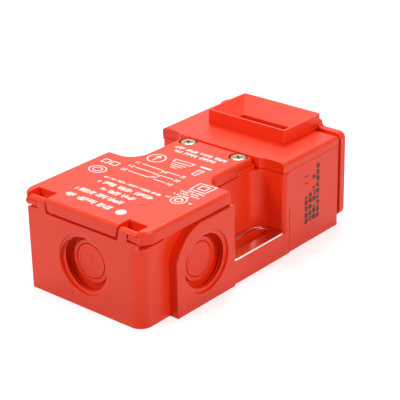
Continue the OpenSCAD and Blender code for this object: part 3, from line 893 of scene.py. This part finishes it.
    @staticmethod
    def _lid_edge(edge: bmesh.types.BMEdge) -> bool:
        """Says whether an edge of the lid lies round its windows or along the foot of its skirt.

        Args:
            edge: The edge.

        Returns:
            True where it is rounded.
        """
        x, y, z = middle(edge)
        window = 0.6 < x < 5.6 and z > 31.9 and 13.0 < abs(y) < 21.8
        skirt_side = 24.6 if x < 38.6 else 13.6
        skirt = z < 28.7 and x > 5.0 and abs(y) > skirt_side
        return window or skirt


@dataclass
class EntryThreads:
    """The moulded threads of the three conduit entries, and the rings on their knock-outs.

    Sizes are in mm, with depths from the entry's mouth. The pitch and the flank, a share of it,
    shape the thread; run_out is how many steps it takes to rise. Turns and arcs are in degrees.
    """

    palette: Palette
    crest: float = 8.85
    crest_half: float = 0.09
    pitch: float = 1.0
    flank: float = 0.36
    first: float = 0.55
    last: float = 3.0
    steps: int = 64
    run_out: int = 9
    least_rise: float = 0.02
    root_overlap: float = 0.04
    shaded_turn: float = 30.0
    face_depth: float = 3.3
    ring_foot: float = 0.03
    ring_height: float = 0.06
    ring_crown: float = 0.4
    arc_step: float = 8.0
    arc_steps: int = 12

    def _place(self, centre: Point, axis: Vector) -> Matrix:
        """Gives the matrix from an entry's own axes, +Z going in, to the frame."""
        turn = axis.to_track_quat("Z", "Y").to_matrix().to_4x4()
        return Matrix.Translation(at(*centre)) @ turn @ Matrix.Scale(MM, 4)

    @staticmethod
    def _ring_of(
        bm: bmesh.types.BMesh, place: Matrix, angle: float, profile: Sequence[Tuple[float, float]]
    ) -> List[bmesh.types.BMVert]:
        """Places one cross-section at an angle round the entry.

        Args:
            bm: The mesh.
            place: The entry's matrix.
            angle: Angle round the entry in radians.
            profile: The section's points, each as radius and depth.

        Returns:
            The section's corners.
        """
        across, up = math.cos(angle), math.sin(angle)
        return [bm.verts.new(place @ Vector((r * across, r * up, depth))) for r, depth in profile]

    @staticmethod
    def _skin(bm: bmesh.types.BMesh, rings: Sequence[List[bmesh.types.BMVert]]) -> None:
        """Skins a row of cross-sections and closes both ends.

        Args:
            bm: The mesh.
            rings: The sections' corners, as many in each.
        """
        for a, b in zip(rings, rings[1:]):
            for k in range(len(a)):
                j = (k + 1) % len(a)
                bm.faces.new((a[k], a[j], b[j], b[k]))
        bm.faces.new(rings[0])
        bm.faces.new(reversed(rings[-1]))

    def _ridge(self, name: str, place: Matrix) -> bpy.types.Object:
        """Sweeps one thread ridge round an entry's wall.

        Args:
            name: The piece's name.
            place: The entry's matrix.

        Returns:
            The ridge.
        """
        bm = bmesh.new()
        turns = (self.last - self.first) / self.pitch
        count = int(turns * self.steps)
        wall, top, half = SIZES.entry_radius, self.crest_half, self.flank * self.pitch
        root = wall + self.root_overlap
        rings = []
        for i in range(count + 1):
            angle = 2 * math.pi * i / self.steps
            depth = self.first + self.pitch * i / self.steps
            rise = min(1.0, i / self.run_out, (count - i) / self.run_out)
            crest = wall - (wall - self.crest) * max(rise, self.least_rise)
            profile = (
                (root, depth - half), (crest, depth - top),
                (crest, depth + top), (root, depth + half),
            )
            rings.append(self._ring_of(bm, place, angle, profile))
        self._skin(bm, rings)
        bmesh.ops.recalc_face_normals(bm, faces=bm.faces)
        for face in bm.faces:
            face.smooth = True
        for edge in bm.edges:
            edge.smooth = edge.calc_face_angle(0.0) < math.radians(self.shaded_turn)
        return new_object(name, bm)

    def _embossing(self, name: str, place: Matrix) -> bpy.types.Object:
        """Raises thin rings and arcs on a knock-out's face.

        Args:
            name: The piece's name.
            place: The entry's matrix.

        Returns:
            The rings.
        """
        bm = bmesh.new()
        foot, crown = self.face_depth + self.ring_foot, self.face_depth - self.ring_height
        # Each arc has a radius and a width in mm, and where it starts and stops in degrees.
        arcs = ((4.4, 0.16, 300, 430), (3.3, 0.2, 190, 330), (2.3, 0.2, 20, 200), (1.2, 0.2, 60, 300))
        for radius, width, start, stop in arcs:
            steps = max(self.arc_steps, int((stop - start) / self.arc_step))
            half = width / 2
            profile = (
                (radius - half, foot), (radius - half * self.ring_crown, crown),
                (radius + half * self.ring_crown, crown), (radius + half, foot),
            )
            rings = []
            for i in range(steps + 1):
                angle = math.radians(start + (stop - start) * i / steps)
                rings.append(self._ring_of(bm, place, angle, profile))
            self._skin(bm, rings)
        bmesh.ops.recalc_face_normals(bm, faces=bm.faces)
        return new_object(name, bm)

    def build(self) -> List[bpy.types.Object]:
        """Builds the ridges and rings of all three entries.

        Returns:
            The pieces.
        """
        along, side, height = SIZES.side_entry_x, SIZES.pad_side, SIZES.side_entry_z
        entries = {
            "front": ((0.0, 0.0, SIZES.front_entry_z), Vector((1, 0, 0))),
            "left": ((along, side, height), Vector((0, -1, 0))),
            "right": ((along, -side, height), Vector((0, 1, 0))),
        }
        pieces = []
        for name, (centre, axis) in entries.items():
            place = self._place(centre, axis)
            pieces.append(self._ridge(f"{name}_entry_thread", place))
            pieces.append(self._embossing(f"{name}_knockout_rings", place))
        for piece in pieces:
            self.palette.fit(piece, Slot.RED, Body.BASE)
        LOG.info("entry threads and rings: %d pieces", len(pieces))
        return pieces


# Printing


@dataclass
class PrintSheet:
    """A thin printed film, drawn as flat shapes on a plane and given an ink's thickness.

    Places are in mm along the sheet's own axes: u to the right and v upwards from the origin.
    """

    origin: Point
    right: Vector
    up: Vector
    film: float = 0.03
    step: float = 0.0015
    levels: int = 9
    sink: float = 0.02
    pen_end: float = 0.3
    ring_steps: int = 36
    digit_width: float = 0.5
    digit_pitch: float = 1.75
    outlines: List[List[Tuple[float, float]]] = field(default_factory=list)

    def shape(self, points: Sequence[Tuple[float, float]]) -> None:
        """Adds one convex flat shape, in mm."""
        self.outlines.append(list(points))

    def bar(self, u0: float, v0: float, u1: float, v1: float, slant: float = 0.0) -> None:
        """Adds an upright bar, leaning by slant."""
        self.shape([(u0, v0), (u1, v0), (u1 + slant, v1), (u0 + slant, v1)])

    def stroke(self, a: Tuple[float, float], b: Tuple[float, float], width: float) -> None:
        """Adds a straight stroke of a pen's width.

        Args:
            a: Where it starts.
            b: Where it stops.
            width: Pen width.
        """
        along = Vector((b[0] - a[0], b[1] - a[1]))
        side = Vector((-along.y, along.x)).normalized() * width / 2
        ends = along.normalized() * width * self.pen_end
        self.shape([
            (a[0] - side.x - ends.x, a[1] - side.y - ends.y),
            (b[0] - side.x + ends.x, b[1] - side.y + ends.y),
            (b[0] + side.x + ends.x, b[1] + side.y + ends.y),
            (a[0] + side.x - ends.x, a[1] + side.y - ends.y),
        ])

    def path(self, points: Sequence[Tuple[float, float]], width: float, closed: bool = False) -> None:
        """Adds strokes through a row of points.

        Args:
            points: The points in order.
            width: Pen width.
            closed: Whether a last stroke leads back to the first point.
        """
        for a, b in zip(points, points[1:]):
            self.stroke(a, b, width)
        if closed:
            self.stroke(points[-1], points[0], width)

    def ring(self, u: float, v: float, radius: float, width: float, squash: float = 1.0) -> None:
        """Adds a ring.

        Args:
            u: Its centre to the right.
            v: Its centre upwards.
            radius: Radius to the middle of the line.
            width: Pen width.
            squash: Height as a share of its width.
        """
        inner, outer = radius - width / 2, radius + width / 2
        for i in range(self.ring_steps):
            a, b = (2 * math.pi * (i + k) / self.ring_steps for k in (0, 1))
            self.shape([
                (u + r * math.cos(t), v + r * math.sin(t) * squash)
                for r, t in ((inner, a), (outer, a), (outer, b), (inner, b))
            ])

    def disc(self, u: float, v: float, radius: float, steps: int = 28) -> None:
        """Adds a solid disc."""
        turns = [2 * math.pi * i / steps for i in range(steps)]
        self.shape([(u + radius * math.cos(t), v + radius * math.sin(t)) for t in turns])

    def digits(self, text: str, u: float, v: float, height: float, width: float) -> None:
        """Adds plain stroke digits.

        Args:
            text: Digits only.
            u: Left edge.
            v: Foot.
            height: Height of a digit.
            width: Pen width.
        """
        w = height * self.digit_width
        corner = {
            "a": (0, height), "b": (w, height), "c": (0, height / 2),
            "d": (w, height / 2), "e": (0, 0), "f": (w, 0),
        }
        forms = {"1": "bf", "2": "abdcef", "3": "abdcdfe", "4": "acdbf"}
        for i, digit in enumerate(text):
            row = [corner[k] for k in forms[digit]]
            self.path([(u + i * w * self.digit_pitch + p[0], v + p[1]) for p in row], width)

    def greeked_row(
        self, u0: float, u1: float, v: float, height: float, pen: float, seed: int, slant: float = 0.0
    ) -> None:
        """Adds a row of plain ticks in word-long groups, where small print would be.

        Args:
            u0: Start of the row.
            u1: End of the row.
            v: Foot of the row.
            height: Height of the ticks.
            pen: Width of a tick.
            seed: Seed of the ticks' rhythm.
            slant: Lean of the ticks.
        """
        dice = random.Random(seed)
        u, left = u0, dice.randint(5, 9)
        while u < u1 - pen:
            # Most ticks stand on the foot, some are raised, and some are lower than the rest.
            low = v + height * (0.0 if dice.random() < 0.8 else 0.3)
            high = v + height * (1.0 if dice.random() < 0.6 else 0.72)
            width = pen * dice.choice((1.0, 1.0, 1.5))
            self.bar(u, low, min(u + width, u1), high, slant)
            if dice.random() < 0.5 and left > 1:
                level = dice.choice((low, high - pen * 0.8, (low + high) / 2))
                self.bar(u, level, min(u + width + pen * 0.9, u1), level + pen * 0.8, 0)
            u += width + pen * dice.choice((0.55, 0.7, 0.85))
            left -= 1
            if left == 0:
                u += pen * 2.2
                left = dice.randint(4, 9)

    def build(self, name: str, material: bpy.types.Material, body: Body) -> bpy.types.Object:
        """Makes the film.

        Args:
            name: The piece's name.
            material: The ink.
            body: The body that carries the print.

        Returns:
            The piece.
        """
        bm = bmesh.new()
        out = self.right.cross(self.up).normalized()
        start = at(*self.origin)
        for index, outline in enumerate(self.outlines):
            # Shapes that cross differ a little in height, so that the render sees one top face.
            heights = (-self.sink, self.film + self.step * (index % self.levels))
            low, high = (
                [bm.verts.new(start + (self.right * u + self.up * v + out * h) * MM) for u, v in outline]
                for h in heights
            )
            bm.faces.new(high)
            bm.faces.new(list(reversed(low)))
            for i in range(len(outline)):
                j = (i + 1) % len(outline)
                bm.faces.new((low[i], low[j], high[j], high[i]))
        bmesh.ops.recalc_face_normals(bm, faces=bm.faces)
        piece = new_object(name, bm)
        wear(piece, material)
        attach(piece, body.value)
        LOG.info("%s: %d shapes", name, len(self.outlines))
        return piece


@dataclass
class SwitchPrint:
    """The white panel on the lid and the black dots on the head, with generic marks only."""

    palette: Palette
    pen: float = 0.4
    dot_radius: float = 0.27
    dot_gap: float = 0.4
    dot_pitch: float = 0.44
    dots_across: int = 4
    dots_down: int = 5
    dot_share: float = 0.88

    def build(self) -> List[bpy.types.Object]:
        """Prints the lid and the head.

        Returns:
            The pieces.
        """
        return [self._lid(), self._dots()]

    def _lid(self) -> bpy.types.Object:
        """Prints the lid. Here u runs along +Y and v along -X, as the print reads.

        Returns:
            The film.
        """
        sheet = PrintSheet((0.0, 0.0, SIZES.top), Vector((0, 1, 0)), Vector((-1, 0, 0)))
        # Each row: middle along X, start, end, height, pen width, seed and lean.
        rows = (
            (55.1, -10.2, 10.9, 1.7, 0.42, 3, 0.0), (52.4, -7.8, 8.9, 1.7, 0.42, 5, 0.0),
            (23.2, -11.1, 12.5, 1.2, 0.28, 7, 0.0), (19.9, -10.7, 11.6, 2.1, 0.5, 11, 0.0),
            (16.0, -6.8, 7.2, 2.3, 0.4, 13, 0.25), (12.0, -5.8, 13.5, 2.3, 0.34, 17, 0.25),
            (7.2, -5.6, 13.1, 2.4, 0.56, 19, 0.35),
        )
        for x, u0, u1, height, pen, seed, slant in rows:
            sheet.greeked_row(u0, u1, -x - height / 2, height, pen, seed, slant)
        sheet.disc(-9.7, -7.2, 1.7)
        self._contacts(sheet)
        self._key_ring(sheet)
        self._plain_marks(sheet)
        return sheet.build("lid_print", self.palette.white_ink, Body.LID)

    def _contacts(self, sheet: PrintSheet) -> None:
        """Draws the contact diagram: two closed contacts and one open one, with their numbers.

        Args:
            sheet: The lid's sheet.
        """
        contacts = ((37.7, "12", "11", True), (34.4, "22", "21", True), (31.0, "34", "33", False))
        for x, left, right, closed in contacts:
            v = -x
            sheet.path([(9.4, v), (1.6, v)], self.pen)
            if closed:
                sheet.path([(1.6, v), (-1.2, v + 0.75)], self.pen)
                sheet.path([(-0.9, v + 1.15), (-0.9, v), (-5.8, v)], self.pen)
            else:
                sheet.path([(1.6, v), (-1.0, v - 1.5)], self.pen)
                sheet.path([(-1.2, v), (-5.8, v)], self.pen)
            sheet.digits(left, -8.6, v - 0.6, 1.3, 0.28)
            sheet.digits(right, 10.3, v - 0.6, 1.3, 0.28)
        for k in range(3):
            v = -37.2 + k * 2.2
            sheet.path([(0.3, v), (0.3, v + 1.2)], self.pen * 0.8)

    def _key_ring(self, sheet: PrintSheet) -> None:
        """Draws the ring with an arrow that shows which way the key goes in.

        Args:
            sheet: The lid's sheet.
        """
        sheet.ring(9.1, -43.8, 3.0, 0.45)
        sheet.path([(9.1, -41.9), (9.1, -45.6)], 0.45)
        sheet.path([(8.2, -44.6), (9.1, -45.7), (10.0, -44.6)], 0.4)

    def _plain_marks(self, sheet: PrintSheet) -> None:
        """Draws plain outlines and bars that fill the rest of the panel.

        Args:
            sheet: The lid's sheet.
        """
        # An outline over three bars, near the head
        sheet.path([(-3.9, -47.3), (3.7, -47.0), (3.4, -45.2), (-3.6, -45.4)], 0.4, closed=True)
        for k, (low, high) in enumerate(((-3.0, 2.8), (-2.2, 2.0), (-1.2, 1.1))):
            sheet.path([(low, -43.9 + 1.25 * k), (high, -43.8 + 1.25 * k)], 0.4)
        # A bar over a narrow outline
        sheet.bar(-10.7, -47.7, -6.6, -46.6)
        sheet.path([(-9.9, -44.9), (-7.6, -44.9), (-7.9, -41.0), (-9.5, -41.0)], 0.36, closed=True)
        sheet.path([(-9.2, -44.0), (-8.3, -44.0)], 0.3)
        sheet.path([(-9.2, -42.6), (-8.3, -42.6)], 0.3)
        # Two outlines, one in the other, over four short rows
        sheet.path([(-14.7, -37.3), (-20.9, -37.8), (-20.6, -32.4), (-15.0, -32.2)], 0.42, closed=True)
        sheet.path([(-16.4, -36.2), (-19.4, -36.4), (-19.3, -33.8), (-16.6, -33.7)], 0.42, closed=True)
        for k, (low, high) in enumerate(((-21.6, -15.0), (-20.4, -12.6), (-21.8, -13.6), (-19.0, -12.4))):
            sheet.greeked_row(low, high, -31.4 + 1.35 * k, 0.8, 0.24, 23 + k)
        # Rings on the right and on the left, and two open squares
        sheet.ring(-17.5, -24.0, 2.5, 0.4)
        sheet.ring(-17.5, -24.0, 1.2, 0.5)
        sheet.greeked_row(-14.0, -12.4, -24.6, 1.1, 0.3, 31)
        sheet.greeked_row(-22.4, -21.0, -24.6, 1.1, 0.3, 33)
        sheet.ring(18.0, -26.0, 3.0, 0.45, 0.85)
        sheet.ring(18.0, -26.0, 1.6, 0.4, 0.85)
        for k in range(2):
            u0, u1 = 15.4 + 3.6 * k, 17.9 + 3.6 * k
            sheet.path([(u0, -33.6), (u1, -33.6), (u1, -31.2), (u0, -31.2)], 0.45, closed=True)

    def _dots(self) -> bpy.types.Object:
        """Prints columns of plain ink-jet dots on the side of the head.

        Returns:
            The film.
        """
        sheet = PrintSheet((0.0, -SIZES.head_side, 0.0), Vector((1, 0, 0)), Vector((0, 0, 1)))
        dice = random.Random(41)
        # Each column: middle along X, lowest and highest dot.
        columns = (
            (77.2, 7.2, 17.0), (77.2, 21.4, 22.2), (77.2, 24.0, 24.8), (79.3, 7.4, 17.6),
            (81.3, 7.6, 12.6), (81.3, 14.0, 19.5), (81.3, 22.0, 23.6), (83.4, 7.4, 26.8),
        )
        for x, low, high in columns:
            rows = int((high - low) / self.dot_pitch)
            for i in range(rows):
                if (i + 1) % self.dots_down == 0:
                    continue
                for k in range(self.dots_across):
                    if dice.random() < self.dot_share:
                        u = x + (k - (self.dots_across - 1) / 2) * self.dot_gap
                        sheet.disc(u, low + i * self.dot_pitch, self.dot_radius, 6)
        return sheet.build("head_dots", self.palette.black_ink, Body.BASE)


# Carried-over parts


@dataclass
class Hardware:
    """The slot plates and the lid screws, with the broken edges that catch the light."""

    palette: Palette
    plate_edge: float = 0.16
    screw_edge: float = 0.1

    def build(self) -> List[bpy.types.Object]:
        """Builds the plates and screws.

        Returns:
            The pieces.
        """
        pieces = []
        for side in ("left", "right"):
            pieces.append(self._part(f"slot_plate_{side}", Slot.PLATE, self.plate_edge, Body.BASE))
            pieces.append(self._part(f"lid_screw_{side}", Slot.ZINC, self.screw_edge, Body.LID))
        LOG.info("plates and lid screws: %d pieces", len(pieces))
        return pieces

    def _part(self, node: str, slot: Slot, edge: float, body: Body) -> bpy.types.Object:
        """Rounds a CAD node's edges and dresses it.

        Args:
            node: The CAD node.
            slot: Its material slot.
            edge: Width of the rounding in mm.
            body: The body it rides on.

        Returns:
            The piece.
        """
        piece = clean_copy(node, f"{node}_piece")
        round_edges(piece, edge, lambda e: True, 2)
        shade(piece)
        self.palette.fit(piece, slot, body, node)
        return piece


@dataclass
class SmallParts:
    """The CAD nodes that stay as they are: the seal, contacts, cam, plunger, springs and screws."""

    palette: Palette

    def build(self) -> None:
        """Gives every CAD node its slot's finish."""
        count = 0
        for entry in frame["record"]["subparts"]:
            thing = frame["nodes"].get(entry["node"])
            if thing is not None:
                self.palette.dress(thing, Slot(entry["material_slot"]))
                count += 1
        LOG.info("finishes on %d nodes", count)


# Studio


@dataclass
class Studio:
    """The pale floor, soft lamps, white surround and the camera at the photograph's view."""

    focal_length: float = 129.34
    view_height: float = 24.63
    view_turn: float = 40.857
    roll: float = -0.02046
    position: Point = (-0.31501448, -0.27665751, 0.21060358)
    aim: Point = (0.0, 0.0, 0.015)
    floor_size: float = 3.0
    floor_grey: float = 0.6
    fill: float = 0.10

    def build(self) -> None:
        """Builds the studio."""
        self._floor()
        self._world()
        self._lamp("key_lamp", (0.30, 0.22, 0.70), size=0.36, power=4.7)
        self._lamp("side_lamp", (-0.05, -0.60, 0.42), size=0.2, power=2.5)
        self._lamp("front_lamp", (-0.56, 0.22, 0.42), size=0.2, power=2.3)
        self._camera()
        bpy.context.scene.view_settings.view_transform = "Standard"
        LOG.info("studio ready")

    def _floor(self) -> None:
        """Lays a pale floor that reads white and keeps the object's shadow."""
        bm = bmesh.new()
        bmesh.ops.create_grid(bm, x_segments=24, y_segments=24, size=self.floor_size / 2)
        floor = new_object("floor", bm)
        material = bpy.data.materials.new("pale_floor")
        material.use_nodes = True
        shader = material.node_tree.nodes["Principled BSDF"]
        shader.inputs["Base Color"].default_value = (*[self.floor_grey] * 3, 1.0)
        shader.inputs["Roughness"].default_value = 0.9
        shader.inputs["Specular IOR Level"].default_value = 0.1
        shader.inputs["Emission Color"].default_value = (1.0, 1.0, 1.0, 1.0)
        tree = NodeTree(material.node_tree)
        seen = tree.seen_directly()
        # Far from the object the lamps fade, so the floor's own white rises there.
        place = tree.add("ShaderNodeTexCoord")
        reach = tree.add("ShaderNodeVectorMath", operation="LENGTH")
        tree.link(place.outputs["Object"], reach.inputs[0])
        glow = tree.add("ShaderNodeMapRange", From_Min=0.2, From_Max=0.7, To_Min=0.62, To_Max=1.0)
        tree.link(reach.outputs["Value"], glow.inputs["Value"])
        tree.link(tree.math("MULTIPLY", seen, glow.outputs["Result"]), shader.inputs["Emission Strength"])
        wear(floor, material)

    def _world(self) -> None:
        """Surrounds the object with soft light, white where the camera or a reflection sees it."""
        world = bpy.data.worlds.new("studio")
        bpy.context.scene.world = world
        world.use_nodes = True
        tree = NodeTree(world.node_tree)
        back = world.node_tree.nodes["Background"]
        back.inputs["Color"].default_value = (1.0, 1.0, 1.0, 1.0)
        seen = tree.seen_directly()
        rest = tree.math("MULTIPLY", tree.math("SUBTRACT", 1.0, seen), self.fill)
        tree.link(tree.math("ADD", seen, rest), back.inputs["Strength"])

    def _lamp(self, name: str, place: Point, size: float, power: float) -> None:
        """Hangs a square soft lamp aimed at the object.

        Args:
            name: The lamp's name.
            place: Where it hangs, in metres.
            size: Side of the square.
            power: Power in watts.
        """
        data = bpy.data.lights.new(name, "AREA")
        data.size = size
        data.energy = power
        lamp = bpy.data.objects.new(name, data)
        bpy.context.scene.collection.objects.link(lamp)
        lamp.location = place
        ahead = Vector(self.aim) - Vector(place)
        lamp.rotation_euler = ahead.to_track_quat("-Z", "Y").to_euler()

    def _camera(self) -> None:
        """Sets the camera where the photograph was taken from."""
        rise, turn = math.radians(self.view_height), math.radians(self.view_turn)
        ahead = Vector((math.cos(rise) * math.cos(turn), math.cos(rise) * math.sin(turn), -math.sin(rise)))
        right = Vector((math.sin(turn), -math.cos(turn), 0.0))
        up = right.cross(ahead)
        side = right * math.cos(self.roll) + up * math.sin(self.roll)
        top = up * math.cos(self.roll) - right * math.sin(self.roll)
        data = bpy.data.cameras.new("camera")
        data.sensor_fit = "HORIZONTAL"
        data.sensor_width = 36.0
        data.lens = self.focal_length
        data.clip_start = 0.01
        camera = bpy.data.objects.new("camera", data)
        bpy.context.scene.collection.objects.link(camera)
        turned = Matrix((side, top, -ahead)).transposed().to_4x4()
        camera.matrix_world = Matrix.Translation(Vector(self.position)) @ turned
        bpy.context.scene.camera = camera


def main() -> None:
    """Builds the switch's looks and its studio."""
    logging.basicConfig(level=logging.INFO, format="%(name)s: %(message)s")
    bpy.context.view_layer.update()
    palette = Palette()
    SmallParts(palette).build()
    Mouldings(palette).build()
    Hardware(palette).build()
    EntryThreads(palette).build()
    SwitchPrint(palette).build()
    Studio().build()


if __name__ == "__main__":
    main()
